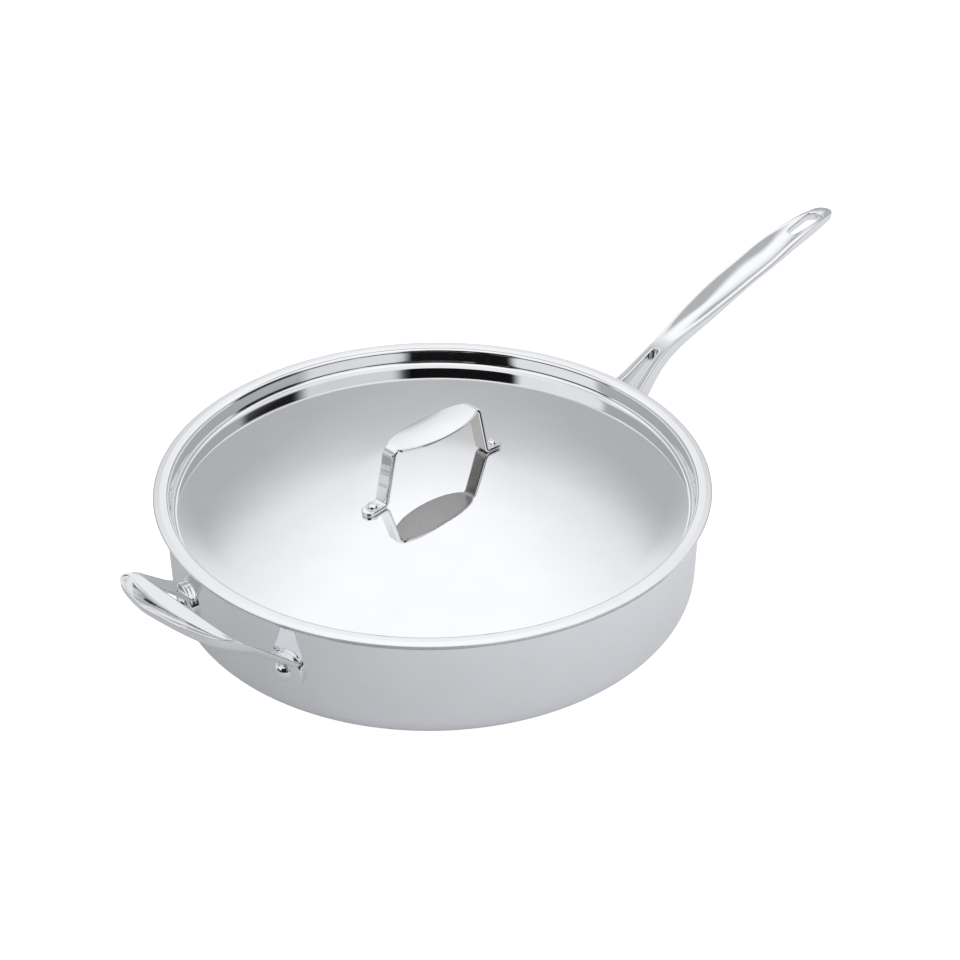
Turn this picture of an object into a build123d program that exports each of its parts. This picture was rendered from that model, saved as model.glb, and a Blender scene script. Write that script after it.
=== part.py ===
from build123d import *
import os
from math import asin, cos, degrees, radians, sin, sqrt, tan

# A deep saute pan of polished clad steel with its lid, in millimetres.
# The origin is the centre of the pan's flat base, +Z is up and the long handle points along +X.
# The small helper handle is opposite it, along -X, and the lid's handle lies in line with both.

# Pan body: three bonded plies pressed into one straight-sided dish with a flared pouring rim
inside_radius = 160.0
pan_height = 70.5
inner_ply = 0.5
core_ply = 1.3
outer_ply = 0.5
inside_corner_radius = 12.4
rim_flare_radius = 4.4
rim_overhang = 4.9

# Lid: one pressed sheet with a sunken domed disc, an upright wall and a flange that sits on the rim
lid_sheet = 0.9
lid_side_play = 0.5
lid_overhang = 1.2
lid_recess_depth = 12.3
lid_dome_radius = 650.0
lid_cap_radius = 50.0
lid_root_radius = 3.2
lid_shoulder_radius = 2.1
lid_seat_gap = 0.05

# Lid handle: one strap bent into two feet, two legs and a broad oval top plate
loop_rivet_span = 100.4
loop_foot_tail = 7.5
loop_strap_width = 9.6
loop_thickness = 2.8
loop_plate_length = 72.0
loop_plate_width = 26.6
loop_height = 35.2
loop_top_half_length = 36.2
loop_bottom_half_length = 43.8
loop_top_bend_radius = 6.0
loop_foot_bend_radius = 2.0
loop_seat_gap = 0.05

# Rivets: a shank with a small gap round it, an outer dome and a low inner head
shank_gap = 0.05
head_gap = 0.03
pan_rivet_shank_radius = 3.2
pan_rivet_head_radius = 5.9
pan_rivet_head_height = 3.3
pan_rivet_tail_radius = 5.6
pan_rivet_tail_height = 1.6
lid_rivet_shank_radius = 2.4
lid_rivet_head_radius = 4.2
lid_rivet_head_height = 3.2
lid_rivet_tail_radius = 4.2
lid_rivet_tail_height = 1.2

# Both pan handles are riveted at one height above the base and stand a hair off the wall
rivet_row_height = 35.0
wall_gap = 0.03

# Long handle: a curved base plate, two prongs with an open slot between them, and a leaf-shaped grip
bracket_width = 64.0
bracket_height = 27.0
bracket_thickness = 3.4
bracket_corner_radius = 10.0
bracket_rivet_spacing = 25.0
handle_reach = 252.2
handle_root_top = 48.0
handle_rise = 69.4
handle_depth = 9.0
handle_half_width = 13.5
handle_end_inset = 9.5
handle_end_half_width = 8.0
slot_root_half_width = 12.0
slot_end_reach = 50.4
slot_end_radius = 2.6
hole_tip_inset = 18.0
hole_span = 25.7
hole_start_radius = 3.8
hole_end_radius = 5.4
dish_depth = 1.6
dish_lip = 1.7

# The long handle's stations: share of the reach, of the rise, of the half width and of the depth
handle_shares = [
    (0.00, 0.000, 1.35, 2.67),
    (0.08, 0.134, 0.90, 2.51),
    (0.14, 0.249, 0.69, 2.16),
    (0.20, 0.364, 0.57, 1.66),
    (0.26, 0.447, 0.56, 1.33),
    (0.33, 0.525, 0.71, 1.06),
    (0.41, 0.607, 0.84, 0.93),
    (0.50, 0.695, 0.95, 0.73),
    (0.58, 0.764, 0.98, 0.68),
    (0.67, 0.838, 0.99, 0.73),
    (0.75, 0.909, 0.92, 0.90),
    (0.83, 0.961, 0.82, 1.01),
    (0.91, 0.991, 0.70, 0.98),
    (1.00, 1.000, 0.48, 0.72),
]
slot_middle_share = 0.50
slot_middle_width_share = 0.45
dish_first_share = 0.30
dish_last_share = 0.90

# Helper handle: two round pads, two rising straps and a dished leaf-shaped grip across their ends
helper_rivet_angle = 15.5
pad_radius = 12.4
pad_thickness = 3.0
strap_root_width = 21.0
strap_thickness = 3.4
strap_root_top = 42.5
strap_half_span = 43.1
strap_lean = 3.0
grip_reach = 24.7
grip_height = 72.5
grip_width = 31.0
grip_thickness = 4.8
grip_rise_angle = 28.0
grip_corner_radius = 5.0
grip_dish_depth = 1.6
grip_dish_inset = 14.5
grip_dish_half_width = 11.0
grip_dish_half_length = 29.0

# A strap's width along its run, and the grip's width along its half span
strap_shares = [(0.0, 1.0), (0.30, 0.64), (0.60, 0.48), (0.86, 0.42)]
grip_shares = [(0.94, 0.40), (0.80, 0.60), (0.60, 0.77), (0.40, 0.88), (0.0, 1.0)]

# One overrun serves every cut
overrun = 5.0
half_turn = 180.0
full_turn = 360.0

# Sizes that follow from the ones above
wall = inner_ply + core_ply + outer_ply
wall_radius = inside_radius + wall
seat_radius = wall_radius + wall_gap
rim_radius = wall_radius + rim_overhang
lid_flange_top = pan_height + lid_seat_gap + lid_sheet
lid_flange_radius = rim_radius + lid_overhang
lid_wall_radius = inside_radius - lid_side_play - lid_sheet
lid_disc_edge = lid_flange_top - lid_recess_depth
lid_cone_angle = asin(lid_cap_radius / lid_dome_radius)
lid_cone_start = lid_disc_edge + (lid_wall_radius - lid_cap_radius) * tan(lid_cone_angle)
loop_rivet_half_span = loop_rivet_span / 2
loop_foot_half_length = loop_rivet_half_span + loop_foot_tail
handle_tip = wall_radius + handle_reach
bracket_rivet_angle = degrees(asin(bracket_rivet_spacing / wall_radius))
bracket_angles = (bracket_rivet_angle, 0, -bracket_rivet_angle)
helper_angles = (half_turn - helper_rivet_angle, half_turn + helper_rivet_angle)
pan_angles = bracket_angles + helper_angles


def ply_line(depth):
    """The pan's section line at a depth below its inside surface, from the axis out to the rim."""
    side = inside_radius + depth
    base = wall - depth
    top = pan_height - depth
    return FilletPolyline(
        (0, base), (side, base), (side, top), (rim_radius, top),
        radius=[inside_corner_radius + depth, rim_flare_radius - depth],
    )


def ply(near, far):
    """One ply of the pan, between two depths below the inside surface."""
    with BuildPart() as body:
        with BuildSketch(Plane.XZ):
            with BuildLine():
                upper = ply_line(near)
                lower = ply_line(far)
                Line(upper @ 0, lower @ 0)
                Line(upper @ 1, lower @ 1)
            make_face()
        revolve(axis=Axis.Z)
    return body.part


def dome_height(radius):
    """Height of the lid's top face at a distance from the axis: a round cap and a cone round it."""
    if radius > lid_cap_radius:
        return lid_cone_start - (radius - lid_cap_radius) * tan(lid_cone_angle)
    sphere_centre = lid_cone_start - lid_dome_radius * cos(lid_cone_angle)
    return sphere_centre + sqrt(lid_dome_radius ** 2 - radius ** 2)


def lid_corner(corner, before, after, depth):
    """A corner of the lid's section line moved to a depth below the top face."""
    left_of_before = Vector(-before.Y, before.X)
    left_of_after = Vector(-after.Y, after.X)
    both = left_of_before + left_of_after
    return corner - both * (depth / (1 + left_of_before.dot(left_of_after)))


def lid_line(depth):
    """The lid's section line at a depth below its top face, from the axis out to the flange's edge."""
    centre = Vector(0, dome_height(0) - lid_dome_radius)
    radius = lid_dome_radius - depth
    half = lid_cone_angle / 2
    middle = centre + Vector(sin(half), cos(half)) * radius
    cap_end = centre + Vector(sin(lid_cone_angle), cos(lid_cone_angle)) * radius
    fall = Vector(cos(lid_cone_angle), -sin(lid_cone_angle))
    climb = Vector(0, 1)
    root = Vector(lid_wall_radius, lid_disc_edge)
    shoulder = Vector(lid_wall_radius, lid_flange_top)
    ThreePointArc(centre + Vector(0, radius), middle, cap_end)
    return FilletPolyline(
        cap_end, lid_corner(root, fall, climb, depth), lid_corner(shoulder, climb, Vector(1, 0), depth),
        (lid_flange_radius, lid_flange_top - depth),
        radius=[lid_root_radius + depth, lid_shoulder_radius + lid_sheet - depth],
    )


def lid_shell():
    """The lid's pressed sheet, turned about the axis from its top line and its underside."""
    with BuildPart() as body:
        with BuildSketch(Plane.XZ):
            with BuildLine():
                top = lid_line(0)
                under = lid_line(lid_sheet)
                Line(top @ 1, under @ 1)
                Line((0, dome_height(0)), (0, dome_height(0) - lid_sheet))
            make_face()
        revolve(axis=Axis.Z)
    return body.part


def cap_arc(radius, base, height):
    """A round cap's outline from its edge at the base to its crown on the axis."""
    ball = (radius ** 2 + height ** 2) / (2 * abs(height))
    centre = base + height - ball * height / abs(height)
    half = radius / 2
    middle = centre + sqrt(ball ** 2 - half ** 2) * height / abs(height)
    return ThreePointArc((radius, base), (half, middle), (0, base + height))


def rivet(low, high, shank, head, head_height, tail, tail_height):
    """A rivet along Z that clamps what lies between two heights, with its dome on top."""
    with BuildPart() as body:
        with BuildSketch(Plane.XZ):
            with BuildLine():
                cap_arc(head, high, head_height)
                Line((0, high + head_height), (0, low - tail_height))
                cap_arc(tail, low, -tail_height)
                Polyline((tail, low), (shank, low), (shank, high), (head, high))
            make_face()
        revolve(axis=Axis.Z)
    return body.part


def radial_plane(angle):
    """A plane on the pan's axis at rivet height, facing outwards at an angle from +X."""
    return Plane(
        origin=(0, 0, rivet_row_height), x_dir=(0, 0, 1), z_dir=(cos(radians(angle)), sin(radians(angle)), 0)
    )


def pan_rivet(angle, clamped):
    """A rivet through the pan's wall and a piece of the given thickness that lies on it."""
    inside_chord = sqrt(inside_radius ** 2 - pan_rivet_tail_radius ** 2)
    shape = rivet(
        inside_chord - head_gap, seat_radius + clamped + head_gap, pan_rivet_shank_radius,
        pan_rivet_head_radius, pan_rivet_head_height, pan_rivet_tail_radius, pan_rivet_tail_height,
    )
    return radial_plane(angle) * shape


def pan_rivet_hole(angle):
    """The hole for a pan rivet, through the wall and what lies on it."""
    length = wall_radius
    hole = Cylinder(
        pan_rivet_shank_radius + shank_gap, length, align=(Align.CENTER, Align.CENTER, Align.MIN)
    )
    return radial_plane(angle) * Pos(0, 0, length / 2) * hole


def drilled(shape, angles):
    """A piece with the holes of the pan rivets at the given angles."""
    for angle in angles:
        shape -= pan_rivet_hole(angle)
    return shape


def foot_plane(side):
    """The plane under a foot of the lid handle, at its rivet: side is 1 towards +X and -1 towards -X."""
    inner = dome_height(loop_bottom_half_length)
    outer = dome_height(loop_foot_half_length)
    run = loop_foot_half_length - loop_bottom_half_length
    fall = inner - outer
    past_bend = loop_rivet_half_span - loop_bottom_half_length
    height = inner + loop_seat_gap - fall * past_bend / run
    return Plane(
        origin=(side * loop_rivet_half_span, 0, height), x_dir=(run, 0, -side * fall),
        z_dir=(side * fall, 0, run),
    )


def lid_rivet(side):
    """A rivet through a foot of the lid handle and the lid's sheet."""
    low = -(loop_seat_gap + lid_sheet + head_gap)
    shape = rivet(
        low, loop_thickness + head_gap, lid_rivet_shank_radius,
        lid_rivet_head_radius, lid_rivet_head_height, lid_rivet_tail_radius, lid_rivet_tail_height,
    )
    return foot_plane(side) * shape


def lid_rivet_hole(side):
    """The hole for a lid rivet, through the foot and the sheet."""
    return foot_plane(side) * Cylinder(lid_rivet_shank_radius + shank_gap, 2 * overrun)


def lid_handle():
    """The bent strap: its side view, as wide as its view from above allows."""
    foot_end = dome_height(loop_foot_half_length) + loop_seat_gap + loop_thickness
    foot_bend = dome_height(loop_bottom_half_length) + loop_seat_gap + loop_thickness
    top = dome_height(0) + loop_height
    right = [
        (loop_foot_half_length, foot_end), (loop_bottom_half_length, foot_bend), (loop_top_half_length, top)
    ]
    left = [(-x, z) for x, z in reversed(right)]
    bends = [loop_foot_bend_radius, loop_top_bend_radius, loop_top_bend_radius, loop_foot_bend_radius]
    with BuildPart() as body:
        with BuildSketch(Plane.XZ):
            with BuildLine():
                FilletPolyline(*right, *left, radius=bends)
                offset(amount=loop_thickness, side=Side.LEFT)
            make_face()
        extrude(amount=loop_plate_width, both=True)
    outline = SlotOverall(2 * loop_foot_half_length, loop_strap_width)
    outline += Ellipse(loop_plate_length / 2, loop_plate_width / 2)
    strap = body.part & extrude(outline, amount=2 * top)
    return strap - lid_rivet_hole(1) - lid_rivet_hole(-1)


def handle_point(row):
    """A station of the long handle: how far out it is, its top, its half width and its depth."""
    reach_share, rise_share, width_share, depth_share = row
    return (
        wall_radius + handle_reach * reach_share, handle_root_top + handle_rise * rise_share,
        handle_half_width * width_share, handle_depth * depth_share,
    )


def handle_side_view():
    """The long handle's outline seen from the side, on the XZ plane."""
    stations = [handle_point(row) for row in handle_shares]
    top = [(x, height) for x, height, half_width, depth in stations]
    bottom = [(x, height - depth) for x, height, half_width, depth in stations]
    with BuildSketch(Plane.XZ) as view:
        with BuildLine():
            Spline(*top)
            Spline(*bottom)
            Line(top[0], bottom[0])
            Line(top[-1], bottom[-1])
        make_face()
    return view.sketch


def handle_plan_view():
    """The long handle's outline seen from above, with its slot and its hanging hole."""
    stations = [handle_point(row) for row in handle_shares[:-1]]
    end = handle_tip - handle_end_inset
    sides = [(x, half_width) for x, height, half_width, depth in stations]
    sides.append((end, handle_end_half_width))
    other = [(x, -half_width) for x, half_width in sides]
    with BuildSketch() as view:
        with BuildLine():
            Spline(*sides)
            ThreePointArc(sides[-1], (handle_tip, 0), other[-1])
            Spline(*other)
            Line(sides[0], other[0])
        make_face()
    slot_end = wall_radius + slot_end_reach
    middle = wall_radius + slot_end_reach * slot_middle_share
    middle_half_width = slot_root_half_width * slot_middle_width_share
    near_side = [
        (wall_radius, slot_root_half_width), (middle, middle_half_width), (slot_end, slot_end_radius)
    ]
    far_side = [(x, -half_width) for x, half_width in near_side]
    with BuildSketch() as slot:
        with BuildLine():
            Spline(*near_side)
            ThreePointArc(near_side[-1], (slot_end + slot_end_radius, 0), far_side[-1])
            Spline(*far_side)
            Line(near_side[0], far_side[0])
        make_face()
    hole_end = handle_tip - hole_tip_inset
    with BuildSketch() as hole:
        with BuildLine():
            CenterArc((hole_end - hole_span, 0), hole_start_radius, 0, full_turn)
            CenterArc((hole_end, 0), hole_end_radius, 0, full_turn)
        make_hull()
    return view.sketch - slot.sketch - hole.sketch


def handle_dish():
    """The shallow hollow along the top of the grip, as a body to cut away."""
    sections = []
    for row in handle_shares:
        if dish_first_share < row[0] < dish_last_share:
            x, height, half_width, depth = handle_point(row)
            half = half_width - dish_lip
            with BuildSketch(Plane(origin=(x, 0, 0), x_dir=(0, 1, 0), z_dir=(1, 0, 0))) as lens:
                with BuildLine():
                    ThreePointArc((-half, height), (0, height - dish_depth), (half, height))
                    Polyline(
                        (half, height), (half, height + overrun), (-half, height + overrun), (-half, height)
                    )
                make_face()
            sections.append(lens.sketch.face())
    return loft(sections)


def bracket():
    """The long handle's base plate, curved to the pan's wall."""
    outline = Plane.YZ * Pos(0, rivet_row_height) * RectangleRounded(
        bracket_width, bracket_height, bracket_corner_radius
    )
    block = extrude(outline, amount=2 * wall_radius, dir=(1, 0, 0))
    shell = Cylinder(seat_radius + bracket_thickness, 2 * pan_height)
    return block & shell


def clear_of_wall(shape):
    """A handle cut back to stand just off the pan's wall."""
    return shape - Cylinder(seat_radius, 2 * handle_tip)


def long_handle():
    """The cast handle: base plate, prongs and grip in one piece."""
    body = extrude(handle_side_view(), amount=2 * handle_half_width, both=True)
    body &= extrude(handle_plan_view(), amount=handle_tip)
    body -= handle_dish()
    return drilled(clear_of_wall(body + bracket()), bracket_angles)


def helper_bend():
    """The strap's top line seen square to its pad: where it leaves the wall, where it ends, its slope."""
    root = Vector(wall_radius, strap_root_top)
    turn = radians(helper_rivet_angle)
    ridge_reach = (wall_radius + grip_reach) * cos(turn) + strap_half_span * sin(turn)
    ridge = Vector(ridge_reach, grip_height)
    return root, ridge, (ridge - root).normalized()


def square_to_pad(*points):
    """A body as long as the pad is wide, with a side view given by points square to the pad."""
    view = Plane.XZ * make_face(Polyline(*points, close=True))
    return Rot(0, 0, helper_rivet_angle) * extrude(view, amount=pad_radius + overrun, both=True)


def helper_strap():
    """A strap as a plain slab, rising from the wall to the grip."""
    root, ridge, rise = helper_bend()
    start = root - rise * pad_radius
    under = Vector(rise.Y, -rise.X) * strap_thickness
    return square_to_pad(start, ridge, ridge + under, start + under)


def helper_pad():
    """A round pad under a strap, curved to the pan's wall and no higher than the strap's top."""
    root, ridge, rise = helper_bend()
    low = root - rise * (wall_radius / rise.X)
    block = Cylinder(pad_radius, 2 * wall_radius, align=(Align.CENTER, Align.CENTER, Align.MIN))
    pad = radial_plane(helper_rivet_angle) * block & Cylinder(seat_radius + pad_thickness, 4 * pan_height)
    return pad & square_to_pad(low, ridge, (ridge.X, low.Y))


def helper_grip():
    """The grip as a plain slab that rises outwards from its inner edge."""
    inner_edge = Vector(wall_radius + grip_reach, grip_height)
    rise = Vector(1, 0).rotate(Axis.Z, grip_rise_angle)
    under = Vector(rise.Y, -rise.X) * grip_thickness
    outer_edge = inner_edge + rise * grip_width
    view = Polyline(inner_edge, outer_edge, outer_edge + under, inner_edge + under, close=True)
    return extrude(Plane.XZ * make_face(view), amount=strap_half_span + pad_radius, both=True)


def helper_plan_view():
    """Half of the helper handle seen from above: a strap and half the grip, on the +X side."""
    root_x = wall_radius * cos(radians(helper_rivet_angle))
    ridge_x = wall_radius + grip_reach
    run = ridge_x - root_x
    reach = cos(radians(grip_rise_angle)) * grip_width
    outside = []
    inside = []
    for run_share, width_share in strap_shares:
        half = strap_root_width * width_share / 2
        middle = strap_half_span - strap_lean * run_share
        outside.append((root_x + run * run_share, middle + half))
        inside.append((root_x + run * run_share, middle - half))
    for span_share, width_share in grip_shares:
        outside.append((ridge_x + reach * width_share, strap_half_span * span_share))
    inside[-1] = (ridge_x, inside[-1][1])
    back = root_x - pad_radius
    with BuildSketch() as view:
        with BuildLine():
            Line((back, 0), (back, outside[0][1]))
            Line((back, outside[0][1]), outside[0])
            Spline(*outside, tangents=[(1, -1), (0, -1)])
            Line(outside[-1], (back, 0))
        make_face()
    with BuildSketch() as opening:
        with BuildLine():
            Polyline((back, 0), (back, inside[0][1]), *inside, (ridge_x, 0), close=True)
        make_face()
        corner = opening.vertices().sort_by_distance((*inside[-1], 0))[0]
        fillet(corner, grip_corner_radius)
    return view.sketch - opening.sketch


def helper_dish():
    """The long shallow hollow in the grip's upper face, as a body to cut away."""
    ball = (grip_dish_half_width ** 2 + grip_dish_depth ** 2) / (2 * grip_dish_depth)
    bowl = scale(Sphere(ball), by=(1, grip_dish_half_length / grip_dish_half_width, 1))
    rise = radians(grip_rise_angle)
    across = Vector(cos(rise), 0, sin(rise))
    middle = Vector(wall_radius + grip_reach, 0, grip_height) + across * grip_dish_inset
    face = Plane(origin=middle, x_dir=across, z_dir=(-sin(rise), 0, cos(rise)))
    return face * Pos(0, 0, ball - grip_dish_depth) * bowl


def helper_handle():
    """The small second handle, opposite the long one: one half and its mirror image."""
    half = helper_strap() + helper_grip() & extrude(helper_plan_view(), amount=2 * grip_height)
    half += helper_pad()
    body = half + mirror(half, about=Plane.XZ) - helper_dish()
    return drilled(clear_of_wall(Rot(0, 0, half_turn) * body), helper_angles)


pieces = {
    "pan_inner_ply": drilled(ply(0, inner_ply), pan_angles),
    "pan_core_ply": drilled(ply(inner_ply, inner_ply + core_ply), pan_angles),
    "pan_outer_ply": drilled(ply(inner_ply + core_ply, wall), pan_angles),
    "long_handle": long_handle(),
    "long_handle_rivet_left": pan_rivet(bracket_angles[0], bracket_thickness),
    "long_handle_rivet_middle": pan_rivet(bracket_angles[1], bracket_thickness),
    "long_handle_rivet_right": pan_rivet(bracket_angles[2], bracket_thickness),
    "helper_handle": helper_handle(),
    "helper_rivet_left": pan_rivet(helper_angles[1], pad_thickness),
    "helper_rivet_right": pan_rivet(helper_angles[0], pad_thickness),
    "lid_panel": lid_shell() - lid_rivet_hole(1) - lid_rivet_hole(-1),
    "lid_handle": lid_handle(),
    "lid_rivet_front": lid_rivet(-1),
    "lid_rivet_back": lid_rivet(1),
}

os.makedirs("parts", exist_ok=True)
for name, piece in pieces.items():
    export_step(piece, "parts/" + name + ".step")
    print(name, round(piece.volume), "mm3")
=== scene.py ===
from math import asin, atan, cos, degrees, pi, radians, sin, sqrt, tan

import bmesh
import bpy
import numpy as np
from mathutils import Matrix, Quaternion, Vector


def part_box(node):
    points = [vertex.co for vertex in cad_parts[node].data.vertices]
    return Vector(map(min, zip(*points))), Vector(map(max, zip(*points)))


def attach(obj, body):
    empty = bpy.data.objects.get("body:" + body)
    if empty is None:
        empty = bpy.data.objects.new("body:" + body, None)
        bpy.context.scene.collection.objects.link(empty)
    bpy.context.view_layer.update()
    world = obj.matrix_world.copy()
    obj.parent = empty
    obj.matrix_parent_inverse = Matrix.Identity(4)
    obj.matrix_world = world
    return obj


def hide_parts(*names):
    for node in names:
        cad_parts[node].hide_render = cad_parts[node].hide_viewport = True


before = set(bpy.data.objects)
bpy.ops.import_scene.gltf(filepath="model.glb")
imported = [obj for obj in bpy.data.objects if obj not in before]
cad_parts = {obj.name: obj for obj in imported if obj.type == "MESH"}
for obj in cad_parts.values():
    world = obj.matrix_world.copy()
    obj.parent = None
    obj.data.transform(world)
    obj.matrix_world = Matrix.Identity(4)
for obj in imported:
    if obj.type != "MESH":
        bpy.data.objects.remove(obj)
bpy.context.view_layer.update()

# A deep saute pan of polished clad steel with its lid. All lengths are in metres.
# The origin is the centre of the pan's base, +Z is up and the long handle points along +X.

# Sizes read from the frame
inner_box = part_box("pan_inner_ply")
core_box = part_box("pan_core_ply")
outer_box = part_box("pan_outer_ply")
lid_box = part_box("lid_panel")
loop_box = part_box("lid_handle")
handle_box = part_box("long_handle")
pan_height = inner_box[1].z
rim_radius = outer_box[1].x
flange_top = lid_box[1].z
flange_radius = lid_box[1].x
loop_top = loop_box[1].z
handle_tip = handle_box[1].x

# Pan body
inner_depth = 0.0005
wall = inner_box[0].z + inner_depth
core_depth = wall - core_box[0].z
inside_radius = 0.160
inside_corner_radius = 0.0124
rim_flare_radius = 0.0044
seat_gap = 0.00003
wall_radius = inside_radius + wall
seat_radius = wall_radius + seat_gap

# Lid
lid_sheet = 0.0009
lid_wall_radius = 0.1586
lid_recess_depth = 0.0123
lid_dome_radius = 0.650
lid_cap_radius = 0.050
lid_root_radius = 0.0032
lid_shoulder_radius = 0.0026
lid_lean_width = 0.0058
lid_lean_drop = 0.0003
lid_disc_edge = flange_top - lid_recess_depth
lid_cone_angle = asin(lid_cap_radius / lid_dome_radius)
lid_cone_start = lid_disc_edge + (lid_wall_radius - lid_cap_radius) * tan(lid_cone_angle)

# Lid handle
loop_rivet_half_span = 0.0502
loop_thickness = 0.0028
loop_strap_half_width = 0.0048
loop_plate_half_width = 0.0133
loop_plate_half_length = 0.0360
loop_top_half_length = 0.0362
loop_bottom_half_length = 0.0438
loop_foot_half_length = 0.0577
loop_top_bend_radius = 0.0060
loop_foot_bend_radius = 0.0020
loop_seat_gap = 0.00005
loop_plate_crown = 0.0009
loop_edge_radius = 0.0009
loop_side_share = 0.5

# Rivets: radii of shank, head and tail, and heights of head and tail
pan_rivet_sizes = {"shank": 0.0032, "head": 0.0059, "dome": 0.0033, "tail": 0.0056, "foot": 0.0016}
lid_rivet_sizes = {"shank": 0.0024, "head": 0.0042, "dome": 0.0032, "tail": 0.0042, "foot": 0.0012}
rivet_edge = 0.0005
head_gap = 0.00003
back_edge = 0.00004
rivet_row_height = 0.035

# Long handle
handle_reach = handle_tip - wall_radius
handle_root_top = 0.048
handle_rise = 0.0694
handle_depth = 0.009
handle_half_width = 0.0135
handle_end_inset = 0.0095
handle_top_edge = 0.0010
handle_bottom_edge = 0.0042
slot_root_half_width = 0.0120
slot_middle_half_width = 0.0054
slot_end_reach = 0.0504
slot_end_radius = 0.0026
hole_tip_inset = 0.0180
hole_span = 0.0257
hole_start_radius = 0.0038
hole_end_radius = 0.0054
dish_depth = 0.0018
dish_lip = 0.0026
bracket_half_width = 0.032
bracket_half_height = 0.0135
bracket_thickness = 0.0034
bracket_corner_radius = 0.010
bracket_rivet_spacing = 0.025
bracket_edge = 0.0010

# The long handle's stations: share of the reach, of the rise, of the half width and of the depth
handle_shares = [
    (0.00, 0.000, 1.35, 2.67),
    (0.08, 0.134, 0.90, 2.51),
    (0.14, 0.249, 0.69, 2.16),
    (0.20, 0.364, 0.57, 1.66),
    (0.26, 0.447, 0.56, 1.33),
    (0.33, 0.525, 0.71, 1.06),
    (0.41, 0.607, 0.84, 0.93),
    (0.50, 0.695, 0.95, 0.73),
    (0.58, 0.764, 0.98, 0.68),
    (0.67, 0.838, 0.99, 0.73),
    (0.75, 0.909, 0.92, 0.90),
    (0.83, 0.961, 0.82, 1.01),
    (0.91, 0.991, 0.70, 0.98),
    (1.00, 1.000, 0.48, 0.72),
]
dish_fade_shares = (0.24, 0.42, 0.90, 0.99)

# Helper handle
helper_rivet_angle = radians(15.5)
pad_radius = 0.0124
pad_thickness = 0.0030
strap_root_top = 0.0425
strap_half_span = 0.0431
strap_lean = 0.0030
strap_root_half_width = 0.0105
strap_depth = 0.0046
strap_settle_run = 0.012
ridge_softness = 0.0004
grip_reach = 0.0247
grip_height = 0.0725
grip_width = 0.031
grip_depth = 0.0052
grip_end_depth = 0.0026
grip_rise_angle = radians(28.0)
grip_corner_radius = 0.005
grip_corner_power = 8
grip_outline_powers = (1.335, 0.371)
grip_dish_depth = 0.0009
grip_lip = 0.0014
helper_top_edge = 0.0008
helper_bottom_edge = 0.0030
grip_blend_shares = (1 / 8, 1 / 3)

# The helper handle's straps: share of the run out to the grip and of the root's half width
strap_shares = [(0.0, 1.0), (0.30, 0.64), (0.60, 0.48), (0.86, 0.42), (1.5, 0.36)]

# Mesh fineness
merge_distance = 0.000002
least_station_gap = 0.00001
turn_steps = 288
section_steps = 8
bend_steps = 14
loop_bend_steps = 16
lid_cap_steps = 40
lid_rim_steps = 8
rivet_dome_steps = 16
rivet_edge_steps = 6
station_step = 0.0016
outline_steps = 900
points_at_once = 2000
round_steps = 20
large_round_steps = 28
helper_tip_steps = 30
helper_corner_steps = 24
loop_columns = 8
handle_columns = 10
helper_columns = 26
edge_angle_shares = (0.0, 0.16, 0.33, 0.5, 0.67, 0.84, 1.0)


# Mesh helpers


def add_mesh(name, points, faces):
    """A closed smooth mesh object in the scene."""
    mesh = bpy.data.meshes.new(name)
    mesh.from_pydata([tuple(p) for p in points], [], faces)
    work = bmesh.new()
    work.from_mesh(mesh)
    bmesh.ops.remove_doubles(work, verts=work.verts, dist=merge_distance)
    bmesh.ops.dissolve_degenerate(work, edges=work.edges, dist=merge_distance)
    bmesh.ops.recalc_face_normals(work, faces=work.faces)
    for face in work.faces:
        face.smooth = True
    work.to_mesh(mesh)
    work.free()
    piece = bpy.data.objects.new(name, mesh)
    bpy.context.scene.collection.objects.link(piece)
    return piece


def dress(piece, body, node, material):
    """Gives a piece its material and lets it stand for a CAD node of the same form."""
    piece.data.materials.append(material)
    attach(piece, body)
    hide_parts(node)


def join(name, pieces):
    """One object from several."""
    bpy.ops.object.select_all(action="DESELECT")
    for piece in pieces:
        piece.select_set(True)
    bpy.context.view_layer.objects.active = pieces[0]
    bpy.ops.object.join()
    pieces[0].name = name
    pieces[0].data.name = name
    return pieces[0]


def turned(name, outline):
    """A body turned about the Z axis from a closed outline of radii and heights."""
    points = []
    for i in range(turn_steps):
        angle = 2 * pi * i / turn_steps
        points += [(r * cos(angle), r * sin(angle), z) for r, z in outline]
    count = len(outline)
    faces = []
    for i in range(turn_steps):
        here = i * count
        there = (i + 1) % turn_steps * count
        for k in range(count):
            after = (k + 1) % count
            faces.append((here + k, here + after, there + after, there + k))
    return add_mesh(name, points, faces)


def rounded_line(corners, radii, arc_steps=bend_steps, line_steps=1):
    """Points along a line with rounded bends, each with the normal on its left."""
    found = []
    start = np.array(corners[0], float)
    last = len(corners) - 1
    for i in range(1, last + 1):
        here = np.array(corners[i], float)
        before = here - np.array(corners[i - 1], float)
        before = before / np.linalg.norm(before)
        left = np.array([-before[1], before[0]])
        if i == last:
            stop = here
            tangent = 0
        else:
            after = np.array(corners[i + 1], float) - here
            turn = np.arctan2(before[0] * after[1] - before[1] * after[0], before @ after)
            tangent = radii[i - 1] * tan(abs(turn) / 2)
            stop = here - before * tangent
        for k in range(line_steps + 1):
            found.append((start + (stop - start) * k / line_steps, left))
        if i == last:
            break
        side = 1 if turn > 0 else -1
        centre = stop + left * side * radii[i - 1]
        for k in range(1, arc_steps):
            swing = turn * k / arc_steps
            normal = np.array([
                left[0] * cos(swing) - left[1] * sin(swing), left[0] * sin(swing) + left[1] * cos(swing)
            ])
            found.append((centre - normal * side * radii[i - 1], normal))
        start = here + after / np.linalg.norm(after) * tangent
    return found


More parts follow.
